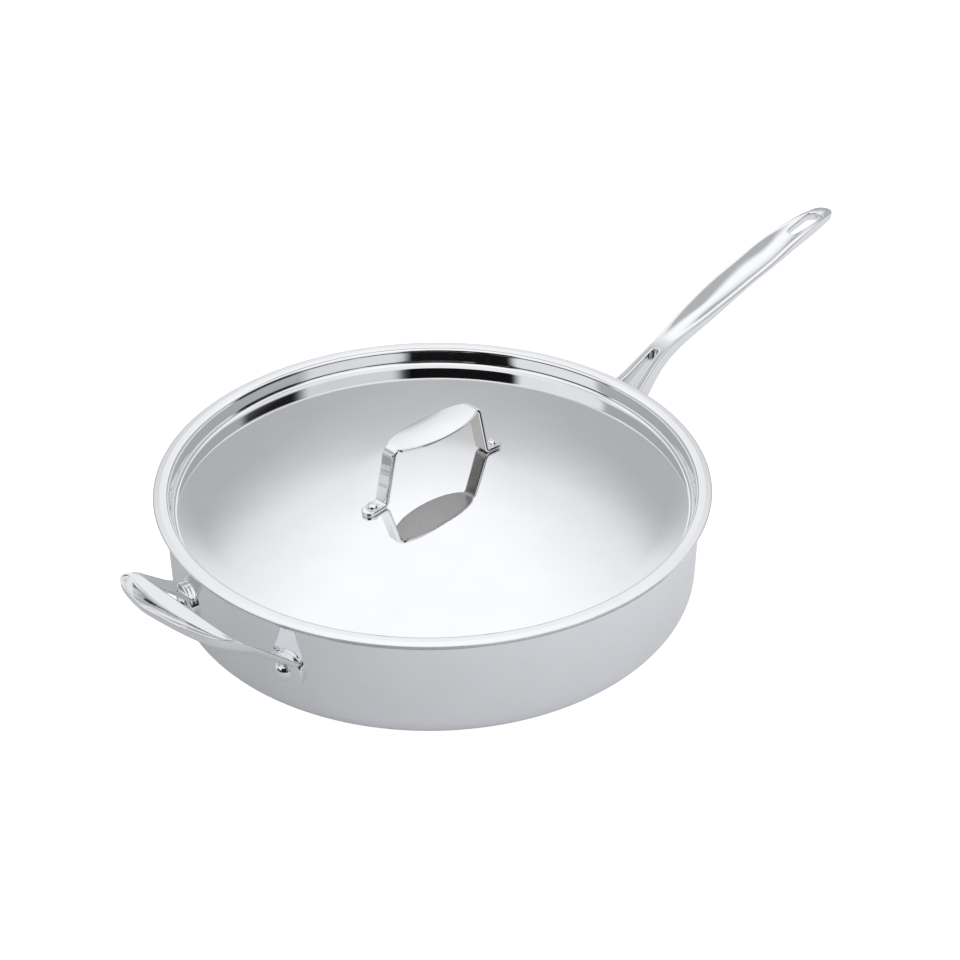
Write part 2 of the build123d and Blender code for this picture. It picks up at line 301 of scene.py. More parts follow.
def curve_through(places, values):
    """A smooth curve of values over places: a natural cubic spline, as a function."""
    x = np.array(places, float)
    y = np.array(values, float)
    gap = np.diff(x)
    count = len(x)
    system = np.eye(count)
    right = np.zeros(count)
    for i in range(1, count - 1):
        system[i, i - 1:i + 2] = (gap[i - 1], 2 * (gap[i - 1] + gap[i]), gap[i])
        right[i] = 6 * ((y[i + 1] - y[i]) / gap[i] - (y[i] - y[i - 1]) / gap[i - 1])
    bend = np.linalg.solve(system, right)

    def value(at):
        at = np.asarray(at, float)
        i = np.clip(np.searchsorted(x, at) - 1, 0, count - 2)
        a = x[i + 1] - at
        b = at - x[i]
        return (
            (bend[i] * a ** 3 + bend[i + 1] * b ** 3) / (6 * gap[i])
            + (y[i] / gap[i] - bend[i] * gap[i] / 6) * a + (y[i + 1] / gap[i] - bend[i + 1] * gap[i] / 6) * b
        )
    return value


def smooth_step(low, high, at):
    """0 below low, 1 above high and a smooth climb between."""
    share = np.clip((at - low) / (high - low), 0, 1)
    return share * share * (3 - 2 * share)


def edge_offsets(radius):
    """Distances from an edge at which its rounding is sampled."""
    return [radius * (1 - cos(share * pi / 2)) for share in edge_angle_shares]


def edge_drop(distance, radius):
    """How far a rounded edge falls below the face at a distance from the outline."""
    inside = np.clip(radius - distance, 0, radius)
    return radius - np.sqrt(radius ** 2 - inside ** 2)


def distance_to_lines(points, lines):
    """The distance of each point from the nearest of the lines, each a run of points."""
    best = np.full(len(points), np.inf)
    for line in lines:
        start = line[:-1]
        step = line[1:] - start
        length = np.maximum((step ** 2).sum(1), merge_distance ** 2)
        for first in range(0, len(points), points_at_once):
            part = points[first:first + points_at_once]
            away = part[:, None, :] - start[None]
            share = np.clip((away * step[None]).sum(2) / length, 0, 1)
            near = away - share[..., None] * step[None]
            found = np.sqrt((near ** 2).sum(2)).min(1)
            best[first:first + points_at_once] = np.minimum(best[first:first + points_at_once], found)
    return best


def plate(name, stations, half_width, opening, faces_at, place, top_edge, bottom_edge,
          middle_columns=loop_columns, round_start=True):
    """A plate with rounded edges, from an outline along a line of stations.

    half_width and opening give the outline and the hole on its centre line at each station.
    faces_at gives the heights of both faces, and place turns station, side and height into a point.
    The edge across the first station is left sharp unless round_start is set.
    """
    stations = np.array(sorted(stations))
    stations = stations[np.append(True, np.diff(stations) > least_station_gap)]
    outer = np.maximum(half_width(stations), 0)
    inner = np.minimum(np.maximum(opening(stations), 0), outer)
    edge = max(top_edge, bottom_edge)
    offsets = sorted(set(edge_offsets(top_edge) + edge_offsets(bottom_edge)))
    room = (outer - inner) / 2
    squeeze = np.minimum(1, room / edge)
    columns = [inner + squeeze * offset for offset in offsets]
    reach_in = inner + squeeze * edge
    reach_out = outer - squeeze * edge
    for k in range(1, middle_columns):
        columns.append(reach_in + (reach_out - reach_in) * k / middle_columns)
    columns += [outer - squeeze * offset for offset in reversed(offsets)]
    grid = np.stack(columns, 1)

    fine = np.linspace(stations[0], stations[-1], outline_steps)
    fine = np.unique(np.concatenate([fine, stations]))
    fine_outer = np.maximum(half_width(fine), 0)
    fine_inner = np.minimum(np.maximum(opening(fine), 0), fine_outer)
    lines = []
    for side in (1, -1):
        lines.append(np.stack([fine, side * fine_outer], 1))
        holes = fine_inner > 0
        runs = np.split(np.arange(len(fine)), np.where(np.diff(holes.astype(int)) != 0)[0] + 1)
        for run in runs:
            if holes[run[0]]:
                run = np.arange(max(run[0] - 1, 0), min(run[-1] + 2, len(fine)))
                lines.append(np.stack([fine[run], side * fine_inner[run]], 1))
    if round_start and fine_outer[0] > 0:
        lines.append(np.array([[fine[0], -fine_outer[0]], [fine[0], fine_outer[0]]]))
    if fine_outer[-1] > 0:
        lines.append(np.array([[fine[-1], -fine_outer[-1]], [fine[-1], fine_outer[-1]]]))

    rows, count = grid.shape
    points = []
    faces = []
    for side in (1, -1):
        flat = np.stack([np.repeat(stations, count), side * grid.reshape(-1)], 1)
        away = distance_to_lines(flat, lines)
        edge_columns = np.zeros((rows, count), bool)
        edge_columns[:, -1] = True
        edge_columns[:, 0] = inner > 0
        away[edge_columns.reshape(-1)] = 0
        top, bottom = faces_at(flat[:, 0], flat[:, 1])
        room = np.maximum(top - bottom, merge_distance)
        top = top - edge_drop(away, np.minimum(top_edge, room / 2))
        bottom = bottom + edge_drop(away, np.minimum(bottom_edge, np.maximum(room / 2, room - top_edge)))
        base = len(points)
        for heights in (top, bottom):
            points += [place(s, t, n) for (s, t), n in zip(flat, heights)]
        under = base + rows * count
        for i in range(rows - 1):
            for j in range(count - 1):
                for start in (base, under):
                    a = start + i * count + j
                    faces.append((a, a + 1, a + count + 1, a + count))
            for j, shown in ((count - 1, True), (0, inner[i] > 0 or inner[i + 1] > 0)):
                if shown:
                    a = base + i * count + j
                    b = under + i * count + j
                    faces.append((a, a + count, b + count, b))
        for i in (0, rows - 1):
            if outer[i] > 0:
                for j in range(count - 1):
                    a = base + i * count + j
                    b = under + i * count + j
                    faces.append((a, a + 1, b + 1, b))
    return add_mesh(name, points, faces)


def no_opening(stations):
    """For a plate without a hole."""
    return np.zeros_like(stations)


def round_stations(end, radius, inward, steps=round_steps):
    """Stations close together towards a round end."""
    return [end + inward * radius * (1 - cos(pi / 2 * i / steps)) for i in range(steps + 1)]


# Materials: scales are repeats per metre, and grain and wave are depths in metres

bright = (0.855, 0.86, 0.875)
inside_color = (0.70, 0.70, 0.71)
core_color = (0.72, 0.72, 0.74)
# Painted shade: a darker colour for the lid handle's inner side, under its top plate and between its legs
underside_shade_color = (0.50, 0.49, 0.47)
finishes = {
    "outer_steel": {"color": bright, "roughness": 0.05, "grain": 0.000002, "wave": 0.00001, "turned": True},
    "inner_steel": {
        "color": inside_color, "roughness": 0.24, "grain": 0.00001, "wave": 0.00001, "turned": True,
    },
    "core_aluminium": {"color": core_color, "roughness": 0.32, "grain": 0.00001, "wave": 0, "turned": True},
    "lid_steel": {"color": bright, "roughness": 0.03, "grain": 0.000001, "wave": 0.00001, "turned": True},
    "cast_steel": {"color": bright, "roughness": 0.04, "grain": 0.000002, "wave": 0.00003, "turned": False},
    "strap_steel": {
        "color": bright, "roughness": 0.035, "grain": 0.000002, "wave": 0.00001, "turned": False,
    },
    # Same slot as strap_steel: the rougher finish is real, the darker colour is painted shade
    "strap_shaded_underside": {
        "slot": "strap_steel", "color": underside_shade_color,
        "roughness": 0.22, "grain": 0.000004, "wave": 0.00002, "turned": False,
    },
    "rivet_steel": {"color": bright, "roughness": 0.06, "grain": 0.000002, "wave": 0.00001, "turned": False},
}
turned_grain = {"scale": 900.0, "stretch": (0.02, 1, 1)}
plain_grain = {"scale": 700.0, "stretch": (1, 1, 1)}
grain_detail = 5.0
smudge_scale = 45.0
smudge_detail = 3.0
wave_scale = 14.0
wave_detail = 1.0
noise_span = (0.3, 0.7)
roughness_shares = (0.7, 1.35)
tint_shares = (0.985, 1.01)


def steel(name):
    """Polished or brushed steel: fine grain in the roughness and the surface, smudges and slow waves."""
    finish = finishes[name]
    material = bpy.data.materials.new(name)
    material["slot"] = finish.get("slot", name)
    material.use_nodes = True
    nodes = material.node_tree.nodes
    links = material.node_tree.links
    shader = nodes["Principled BSDF"]
    shader.inputs["Metallic"].default_value = 1.0
    place = nodes.new("ShaderNodeTexCoord").outputs["Object"]

    def noise(source, scale, detail):
        node = nodes.new("ShaderNodeTexNoise")
        node.inputs["Scale"].default_value = scale
        node.inputs["Detail"].default_value = detail
        links.new(source, node.inputs["Vector"])
        return node.outputs["Fac"]

    def bump(height, distance):
        node = nodes.new("ShaderNodeBump")
        node.inputs["Strength"].default_value = 1.0
        node.inputs["Distance"].default_value = distance
        links.new(height, node.inputs["Height"])
        return node

    grain = turned_grain if finish["turned"] else plain_grain
    source = around_axis(nodes, links, place) if finish["turned"] else place
    stretch = nodes.new("ShaderNodeMapping")
    stretch.inputs["Scale"].default_value = grain["stretch"]
    links.new(source, stretch.inputs["Vector"])
    fine = noise(stretch.outputs["Vector"], grain["scale"], grain_detail)
    smudge = noise(place, smudge_scale, smudge_detail)
    slow = noise(place, wave_scale, wave_detail)

    half = nodes.new("ShaderNodeMath")
    half.operation = "MULTIPLY"
    half.inputs[1].default_value = 0.5
    links.new(smudge, half.inputs[0])
    mixed = nodes.new("ShaderNodeMath")
    mixed.operation = "MULTIPLY_ADD"
    mixed.inputs[1].default_value = 0.5
    links.new(fine, mixed.inputs[0])
    links.new(half.outputs["Value"], mixed.inputs[2])
    shine = nodes.new("ShaderNodeMapRange")
    shine.inputs["From Min"].default_value = noise_span[0]
    shine.inputs["From Max"].default_value = noise_span[1]
    shine.inputs["To Min"].default_value = finish["roughness"] * roughness_shares[0]
    shine.inputs["To Max"].default_value = finish["roughness"] * roughness_shares[1]
    links.new(mixed.outputs["Value"], shine.inputs["Value"])
    links.new(shine.outputs["Result"], shader.inputs["Roughness"])

    tint = nodes.new("ShaderNodeValToRGB")
    for stop, position, share in zip(tint.color_ramp.elements, noise_span, tint_shares):
        stop.position = position
        stop.color = (*[min(channel * share, 1) for channel in finish["color"]], 1)
    links.new(smudge, tint.inputs["Fac"])
    links.new(tint.outputs["Color"], shader.inputs["Base Color"])

    waves = bump(slow, finish["wave"])
    scratches = bump(fine, finish["grain"])
    links.new(waves.outputs["Normal"], scratches.inputs["Normal"])
    links.new(scratches.outputs["Normal"], shader.inputs["Normal"])
    return material


def around_axis(nodes, links, source):
    """Coordinates for turned grain: the angle round Z, the distance from it and the height."""
    split = nodes.new("ShaderNodeSeparateXYZ")
    links.new(source, split.inputs["Vector"])
    angle = nodes.new("ShaderNodeMath")
    angle.operation = "ARCTAN2"
    links.new(split.outputs["Y"], angle.inputs[0])
    links.new(split.outputs["X"], angle.inputs[1])
    flat = nodes.new("ShaderNodeCombineXYZ")
    links.new(split.outputs["X"], flat.inputs["X"])
    links.new(split.outputs["Y"], flat.inputs["Y"])
    reach = nodes.new("ShaderNodeVectorMath")
    reach.operation = "LENGTH"
    links.new(flat.outputs["Vector"], reach.inputs[0])
    whole = nodes.new("ShaderNodeCombineXYZ")
    links.new(angle.outputs["Value"], whole.inputs["X"])
    links.new(reach.outputs["Value"], whole.inputs["Y"])
    links.new(split.outputs["Z"], whole.inputs["Z"])
    return whole.outputs["Vector"]


outer_steel = steel("outer_steel")
inner_steel = steel("inner_steel")
core_aluminium = steel("core_aluminium")
lid_steel = steel("lid_steel")
cast_steel = steel("cast_steel")
strap_steel = steel("strap_steel")
strap_shaded_underside = steel("strap_shaded_underside")
rivet_steel = steel("rivet_steel")


# Pan body


def pan_line():
    """The pan's inside section line from the axis out to the rim, with normals into the pan."""
    corners = [(0, wall), (inside_radius, wall), (inside_radius, pan_height), (rim_radius, pan_height)]
    return rounded_line(corners, [inside_corner_radius, rim_flare_radius], line_steps=section_steps)


def ply(name, near, far, material):
    """One ply of the pan, between two depths below the inside surface."""
    line = pan_line()
    upper = [tuple(point - normal * near) for point, normal in line]
    lower = [tuple(point - normal * far) for point, normal in line]
    dress(turned(name, upper + lower[::-1]), "pan", name, material)


ply("pan_inner_ply", 0, inner_depth, inner_steel)
ply("pan_core_ply", inner_depth, core_depth, core_aluminium)
ply("pan_outer_ply", core_depth, wall, outer_steel)


# Rivets


def rivet(name, low, high, sizes, place, body):
    """A rivet along Z that clamps what lies between two heights, with its dome on top."""
    def cap(radius, base, height):
        side = 1 if height > 0 else -1
        shoulder = radius - rivet_edge
        tall = abs(height) - rivet_edge
        ball = (shoulder ** 2 + tall ** 2) / (2 * tall)
        spread = asin(shoulder / ball)
        found = []
        for k in range(rivet_dome_steps + 1):
            angle = spread * k / rivet_dome_steps
            found.append((ball * sin(angle), base + side * (abs(height) - ball * (1 - cos(angle)))))
        for k in range(1, rivet_edge_steps + 1):
            angle = pi / 2 * k / rivet_edge_steps
            found.append((shoulder + rivet_edge * sin(angle), base + side * rivet_edge * cos(angle)))
        return found
    head = cap(sizes["head"], high, sizes["dome"])
    tail = cap(sizes["tail"], low, -sizes["foot"])
    outline = head + [(sizes["shank"], high), (sizes["shank"], low)] + tail[::-1]
    piece = turned(name, outline)
    piece.data.transform(place)
    dress(piece, body, name, rivet_steel)


def on_wall(angle):
    """The place on the pan's axis at rivet height that faces outwards at an angle from +X."""
    out = Vector((cos(angle), sin(angle), 0))
    side = Vector((-sin(angle), cos(angle), 0))
    up = Vector((0, 0, 1))
    turn = Matrix((side, up, out)).transposed().to_4x4()
    return Matrix.Translation((0, 0, rivet_row_height)) @ turn


def dome_height(radius):
    """Height of the lid's top face at a distance from the axis: a round cap and a cone round it."""
    if radius > lid_cap_radius:
        return lid_cone_start - (radius - lid_cap_radius) * tan(lid_cone_angle)
    return lid_cone_start + sqrt(lid_dome_radius ** 2 - radius ** 2) - lid_dome_radius * cos(lid_cone_angle)


def on_foot(side):
    """The place under a foot of the lid handle at its rivet: side is 1 towards +X and -1 towards -X."""
    inner = dome_height(loop_bottom_half_length)
    outer = dome_height(loop_foot_half_length)
    run = loop_foot_half_length - loop_bottom_half_length
    past_bend = loop_rivet_half_span - loop_bottom_half_length
    height = inner + loop_seat_gap - (inner - outer) * past_bend / run
    tilt = Matrix.Rotation(side * atan((inner - outer) / run), 4, "Y")
    return Matrix.Translation((side * loop_rivet_half_span, 0, height)) @ tilt


bracket_rivet_angle = asin(bracket_rivet_spacing / wall_radius)
inside_chord = sqrt(inside_radius ** 2 - pan_rivet_sizes["tail"] ** 2) - head_gap
for name, angle, clamped in (
    ("long_handle_rivet_left", bracket_rivet_angle, bracket_thickness),
    ("long_handle_rivet_middle", 0, bracket_thickness),
    ("long_handle_rivet_right", -bracket_rivet_angle, bracket_thickness),
    ("helper_rivet_left", pi + helper_rivet_angle, pad_thickness),
    ("helper_rivet_right", pi - helper_rivet_angle, pad_thickness),
):
    high = seat_radius + clamped + head_gap
    rivet(name, inside_chord, high, pan_rivet_sizes, on_wall(angle), "pan")
for name, side in (("lid_rivet_back", 1), ("lid_rivet_front", -1)):
    low = -(loop_seat_gap + lid_sheet + head_gap)
    rivet(name, low, loop_thickness + head_gap, lid_rivet_sizes, on_foot(side), "lid")


# Lid


def lid_line():
    """The lid's top section line from the axis out to the flange's edge, with normals upwards."""
    found = []
    centre = np.array([0, dome_height(0) - lid_dome_radius])
    for k in range(lid_cap_steps):
        angle = lid_cone_angle * k / lid_cap_steps
        normal = np.array([sin(angle), cos(angle)])
        found.append((centre + normal * lid_dome_radius, normal))
    flange_end = flange_radius - lid_sheet / 2
    flat_from = lid_wall_radius + lid_lean_width
    corners = [
        (lid_cap_radius, lid_cone_start), (lid_wall_radius, lid_disc_edge),
        (lid_wall_radius, flange_top - lid_lean_drop), (flat_from, flange_top), (flange_end, flange_top),
    ]
    radii = [lid_root_radius, lid_shoulder_radius, lid_lean_width]
    return found + rounded_line(corners, radii, line_steps=section_steps)


def lid_panel():
    """The lid's pressed sheet with its dome, upright wall and flange."""
    line = lid_line()
    top = [tuple(point) for point, normal in line]
    under = [tuple(point - normal * lid_sheet) for point, normal in line]
    edge = []
    for k in range(1, lid_rim_steps):
        angle = pi / 2 - pi * k / lid_rim_steps
        edge.append((top[-1][0] + lid_sheet / 2 * cos(angle), flange_top + lid_sheet / 2 * (sin(angle) - 1)))
    dress(turned("lid_panel", top + edge + under[::-1]), "lid", "lid_panel", lid_steel)


lid_panel()


# Lid handle


def lid_handle():
    """The strap bent into feet, legs and an oval top plate, rougher on its inner side and darker there as
    painted shade.
    """
    lift = loop_seat_gap + loop_thickness
    foot_end = dome_height(loop_foot_half_length) + lift
    foot_bend = dome_height(loop_bottom_half_length) + lift
    right = [
        (loop_top_half_length, loop_top),
        (loop_bottom_half_length, foot_bend),
        (loop_foot_half_length, foot_end),
    ]
    left = [(-x, z) for x, z in reversed(right)]
    bends = [loop_foot_bend_radius, loop_top_bend_radius, loop_top_bend_radius, loop_foot_bend_radius]
    line = rounded_line(left + right, bends, arc_steps=loop_bend_steps)
    spots = np.array([point for point, normal in line])
    normals = np.array([normal for point, normal in line])
    along = np.append(0, np.cumsum(np.linalg.norm(np.diff(spots, axis=0), axis=1)))
    keep = np.append(True, np.diff(along) > merge_distance)
    spots, normals, along = spots[keep], normals[keep], along[keep]
    length = along[-1]

    def half_width(s):
        x = np.interp(s, along, spots[:, 0])
        oval = np.sqrt(np.clip(1 - (x / loop_plate_half_length) ** 2, 0, 1))
        plate_half = loop_plate_half_width * oval
        spread = np.where(abs(x) < loop_plate_half_length, plate_half - loop_strap_half_width, 0)
        width = loop_strap_half_width + np.maximum(spread, 0)
        end = np.minimum(s, length - s)
        tip = np.sqrt(np.clip(1 - (1 - np.clip(end / loop_strap_half_width, 0, 1)) ** 2, 0, 1))
        return width * tip

    def faces_at(s, t):
        x = np.interp(s, along, spots[:, 0])
        over = np.clip(1 - (x / loop_plate_half_length) ** 2, 0, 1)
        across = np.clip(abs(t) / loop_plate_half_width, 0, 1)
        top = -loop_plate_crown * over * across ** 2
        return top, np.full_like(s, -loop_thickness)

    def place(s, t, n):
        x = np.interp(s, along, spots[:, 0])
        z = np.interp(s, along, spots[:, 1])
        out = np.array([np.interp(s, along, normals[:, 0]), np.interp(s, along, normals[:, 1])])
        out = out / np.linalg.norm(out)
        return (x + n * out[0], t, z + n * out[1])

    stations = list(along) + list(np.arange(0, length, station_step))
    for end, inward in ((0, 1), (length, -1)):
        stations += round_stations(end, loop_strap_half_width, inward)
    piece = plate(
        "lid_handle", stations, half_width, no_opening, faces_at, place, loop_edge_radius, loop_edge_radius
    )
    dress(piece, "lid", "lid_handle", strap_steel)
    piece.data.materials.append(strap_shaded_underside)
    # Inner faces of the loop, under the top plate and between the legs, get the darker copy as painted shade
    middle = Vector((0, 0, (loop_top + foot_bend) / 2))
    for face in piece.data.polygons:
        if abs(face.center.x) < loop_bottom_half_length and abs(face.normal.y) < loop_side_share:
            if face.normal.dot(middle - face.center) > 0:
                face.material_index = 1


lid_handle()


# Long handle


def handle_curves():
    """Height of the top, half width and depth of the long handle as smooth curves over X."""
    x = [wall_radius + handle_reach * row[0] for row in handle_shares]
    height = curve_through(x, [handle_root_top + handle_rise * row[1] for row in handle_shares])
    width = curve_through(x, [handle_half_width * row[2] for row in handle_shares])
    depth = curve_through(x, [handle_depth * row[3] for row in handle_shares])
    return height, width, depth


def handle_grip():
    """Prongs and grip in one, with the slot and the hanging hole."""
    height, width, depth = handle_curves()
    end = handle_tip - handle_end_inset
    slot_end = wall_radius + slot_end_reach
    slot = curve_through(
        [wall_radius, (wall_radius + slot_end) / 2, slot_end],
        [slot_root_half_width, slot_middle_half_width, slot_end_radius],
    )
    hole_end = handle_tip - hole_tip_inset
    hole_start = hole_end - hole_span

    def half_width(x):
        inset = np.clip((x - end) / handle_end_inset, 0, 1)
        return np.where(x < end, width(x), width(end) * np.sqrt(1 - inset ** 2))

    def opening(x):
        slot_tip = np.sqrt(np.clip(slot_end_radius ** 2 - (x - slot_end) ** 2, 0, None))
        found = np.where(x < slot_end, slot(x), slot_tip)
        start_cap = np.sqrt(np.clip(hole_start_radius ** 2 - (x - hole_start) ** 2, 0, None))
        end_cap = np.sqrt(np.clip(hole_end_radius ** 2 - (x - hole_end) ** 2, 0, None))
        share = np.clip((x - hole_start) / hole_span, 0, 1)
        side = hole_start_radius + (hole_end_radius - hole_start_radius) * share
        hole = np.where(x < hole_start, start_cap, np.where(x > hole_end, end_cap, side))
        return np.where(x < (slot_end + hole_start) / 2, found, hole)

    def faces_at(x, y):
        share = (x - wall_radius) / handle_reach
        rise = smooth_step(dish_fade_shares[0], dish_fade_shares[1], share)
        fall = 1 - smooth_step(dish_fade_shares[2], dish_fade_shares[3], share)
        across = np.clip(abs(y) / np.maximum(half_width(x) - dish_lip, dish_lip), 0, 1)
        dish = dish_depth * rise * fall * (1 - across ** 2)
        return height(x) - dish, height(x) - depth(x)

    def place(x, y, z):
        return (x, y, z)

    stations = list(np.arange(wall_radius, handle_tip, station_step))
    stations += round_stations(slot_end + slot_end_radius, slot_end_radius, -1)
    stations += round_stations(hole_start - hole_start_radius, hole_start_radius, 1)
    stations += round_stations(hole_end + hole_end_radius, hole_end_radius, -1)
    stations += round_stations(handle_tip, handle_end_inset, -1, large_round_steps)
    for offset in edge_offsets(handle_bottom_edge) + edge_offsets(handle_top_edge):
        stations += [
            slot_end + slot_end_radius + offset, hole_start - hole_start_radius - offset,
            hole_end + hole_end_radius + offset, handle_tip - offset,
        ]
    return plate(
        "handle_grip", stations, half_width, opening, faces_at, place, handle_top_edge, handle_bottom_edge,
        middle_columns=handle_columns, round_start=False,
    )


def bracket():
    """The long handle's base plate, curved to the pan's wall."""
    straight = bracket_half_width - bracket_corner_radius

    def half_width(s):
        past = np.clip((abs(s) - straight) / bracket_corner_radius, 0, 1)
        corner = bracket_corner_radius * (1 - np.sqrt(1 - past ** 2))
        return bracket_half_height - corner

    def faces_at(s, t):
        return np.full_like(s, bracket_thickness), np.zeros_like(s)

    def place(s, t, n):
        angle = asin(s / wall_radius)
        radius = seat_radius + n
        return (radius * cos(angle), radius * sin(angle), rivet_row_height + t)

    stations = list(np.arange(-bracket_half_width, bracket_half_width, station_step))
    for end, inward in ((-bracket_half_width, 1), (bracket_half_width, -1)):
        stations += round_stations(end, bracket_corner_radius, inward)
        stations += [end + inward * offset for offset in edge_offsets(bracket_edge)]
    return plate(
        "bracket", stations, half_width, no_opening, faces_at, place, bracket_edge, back_edge
    )


dress(join("long_handle", [handle_grip(), bracket()]), "pan", "long_handle", cast_steel)


# Helper handle


def helper_grip():
    """Both straps and the dished grip in one, with X measured outwards from the pan."""
    powers = grip_outline_powers
    root = wall_radius * cos(helper_rivet_angle)
    ridge = wall_radius + grip_reach
    reach = grip_width * cos(grip_rise_angle)
    tip = ridge + reach
    run = ridge - root
    strap = curve_through(
        [root + run * row[0] for row in strap_shares],
        [strap_root_half_width * row[1] for row in strap_shares],
    )
    ridge_run = ridge * cos(helper_rivet_angle) + strap_half_span * sin(helper_rivet_angle) - wall_radius
    slope = (grip_height - strap_root_top) / ridge_run

    def strap_half(x):
        return strap(np.maximum(x, root))

    def strap_middle(x):
        return strap_half_span - strap_lean * np.clip((x - root) / run, 0, 1)

    def half_width(x):
        out = np.clip((x - ridge) / reach, 0, 1)
        leaf = strap_half_span * np.clip(1 - out ** (1 / powers[1]), 0, 1) ** (1 / powers[0])
        side = strap_middle(x) - strap_half_span + strap_half(np.minimum(x, tip))
        blend_start = ridge - run * grip_blend_shares[0]
        blend_end = ridge + run * grip_blend_shares[1]
        return leaf + side * (1 - smooth_step(blend_start, blend_end, x))

    def opening(x):
        past = np.clip((x - ridge + grip_corner_radius) / grip_corner_radius, 0, 1)
        return (strap_middle(x) - strap_half(np.minimum(x, ridge))) * np.sqrt(1 - past ** grip_corner_power)

    def faces_at(x, y):
        settled = smooth_step(ridge - strap_settle_run, ridge, x)
        side = strap_half_span + (abs(y) - strap_half_span) * (1 - settled)
        run_here = x * cos(helper_rivet_angle) + side * sin(helper_rivet_angle) - wall_radius
        low = strap_root_top + slope * run_here
        high = grip_height + (x - ridge) * tan(grip_rise_angle)
        top = (low + high) / 2 - np.sqrt(((low - high) / 2) ** 2 + ridge_softness ** 2)
        wide = reach * np.clip(1 - (abs(y) / strap_half_span) ** powers[0], 0, 1) ** powers[1]
        room = np.maximum(wide / 2 - grip_lip, grip_lip)
        across = np.clip(abs(x - ridge - wide / 2) / room, 0, 1)
        dish = grip_dish_depth * smooth_step(0, reach / 2, wide) * (1 - across ** 2)
        deeper = grip_depth - strap_depth + grip_end_depth * (abs(y) / strap_half_span) ** 2
        depth = strap_depth + deeper * smooth_step(ridge - strap_settle_run, ridge, x)
        return top - dish, top - depth

    def place(x, y, z):
        if x * x + y * y < seat_radius ** 2:
            x = sqrt(seat_radius ** 2 - y * y)
        return (-x, y, z)

    stations = list(np.arange(root - pad_radius, tip, station_step))
    stations += round_stations(tip, reach / 2, -1, helper_tip_steps)
    for offset in edge_offsets(helper_bottom_edge) + edge_offsets(helper_top_edge):
        stations += [tip - offset, ridge + offset]
    for k in range(helper_corner_steps + 1):
        bulge = (1 - (k / helper_corner_steps) ** 2) ** (1 / grip_corner_power)
        stations.append(ridge - grip_corner_radius * (1 - bulge))
    return plate(
        "helper_grip", stations, half_width, opening, faces_at, place, helper_top_edge, helper_bottom_edge,
        middle_columns=helper_columns, round_start=False,
    )


def helper_pad(side):
    """A round pad under a strap, curved to the pan's wall: side is 1 towards +Y and -1 towards -Y."""
    def half_width(s):
        return np.sqrt(np.clip(pad_radius ** 2 - s ** 2, 0, None))

    def faces_at(s, t):
        return np.full_like(s, pad_thickness), np.zeros_like(s)

    def place(s, t, n):
        angle = side * helper_rivet_angle + asin(s / wall_radius)
        radius = seat_radius + n
        return (-radius * cos(angle), radius * sin(angle), rivet_row_height + t)

    stations = list(np.arange(-pad_radius, pad_radius, station_step))
    for inward in (1, -1):
        stations += round_stations(-inward * pad_radius, pad_radius, inward, large_round_steps)
    return plate(
        "helper_pad", stations, half_width, no_opening, faces_at, place, bracket_edge, back_edge
    )


def helper_handle():
    """The helper handle: straps and grip with a pad under each strap."""
    pieces = [helper_grip(), helper_pad(1), helper_pad(-1)]
    dress(join("helper_handle", pieces), "pan", "helper_handle", cast_steel)


helper_handle()


# Camera, at the photograph's place

camera_place = Vector((-0.5704, -0.5907, 0.59666))
camera_target = Vector((0.02034, -0.01964, 0.06550))
camera_roll = radians(0.22)
camera_lens = 60.07
camera_sensor = 36.0
camera_clip_start = 0.01
camera_data = bpy.data.cameras.new("camera")
camera_data.lens = camera_lens
camera_data.sensor_width = camera_sensor
camera_data.clip_start = camera_clip_start
camera = bpy.data.objects.new("camera", camera_data)
camera.location = camera_place
look = (camera_target - camera_place).to_track_quat("-Z", "Y")
camera.rotation_euler = (look @ Quaternion((0, 0, 1), camera_roll)).to_euler()
bpy.context.scene.collection.objects.link(camera)
bpy.context.scene.camera = camera


# Floor

back = Vector((-camera_place.x, -camera_place.y, 0)).normalized()
rightwards = Vector((back.y, -back.x, 0))
floor_half_size = 3.0
floor_drop = 0.0002
floor_color = (0.55, 0.555, 0.57)
floor_glow = 0.98
floor_mirrored_glow = (0.10, 0.36)
floor_glow_color = (0.965, 0.975, 1.0)
floor_glow_span = 0.30


